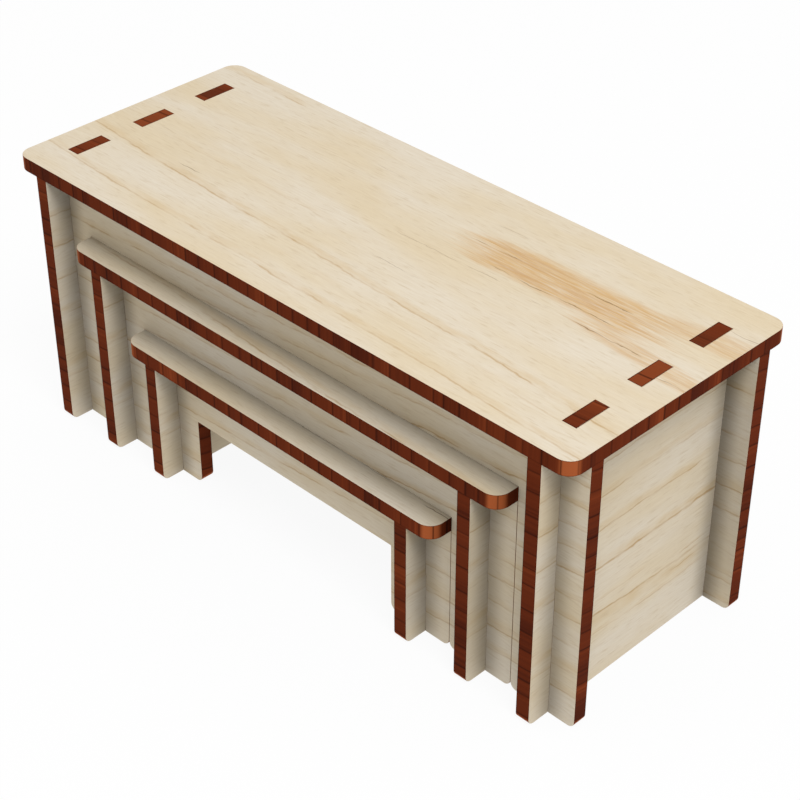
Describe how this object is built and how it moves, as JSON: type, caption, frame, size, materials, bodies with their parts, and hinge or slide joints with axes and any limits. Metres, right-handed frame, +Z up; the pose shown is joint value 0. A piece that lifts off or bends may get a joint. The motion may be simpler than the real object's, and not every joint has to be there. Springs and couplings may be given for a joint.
{
  "type": "nesting display riser set",
  "caption": "Nest of flat-panel plywood display risers with rounded tops, through tenons and arched fronts; the smaller ones slide out of the larger to make a tiered display.",
  "frame": {"origin": "middle of the footprint, on the surface that the nest stands on", "axes": "+X along the length, +Y from the front to the back, +Z up"},
  "size_m": [0.3048, 0.1206, 0.127],
  "materials": {
    "plywood": "bare pale veneer on both faces, cut edges scorched dark red-brown"
  },
  "bodies": {
    "large_riser": {"large_top": "plywood", "large_side_left": "plywood", "large_side_right": "plywood", "large_front_panel": "plywood", "large_back_panel": "plywood"},
    "medium_riser": {"medium_top": "plywood", "medium_side_left": "plywood", "medium_side_right": "plywood", "medium_front_panel": "plywood", "medium_back_panel": "plywood"},
    "small_riser": {"small_top": "plywood", "small_side_left": "plywood", "small_side_right": "plywood", "small_front_panel": "plywood", "small_back_panel": "plywood"}
  },
  "joints": [
    {"name": "medium_slide", "type": "slide", "parent": "large_riser", "child": "medium_riser", "axis": [0, -1, 0], "range_m": [-0.125, 0.125]},
    {"name": "small_slide", "type": "slide", "parent": "medium_riser", "child": "small_riser", "axis": [0, -1, 0], "range_m": [-0.125, 0.125]}
  ]
}
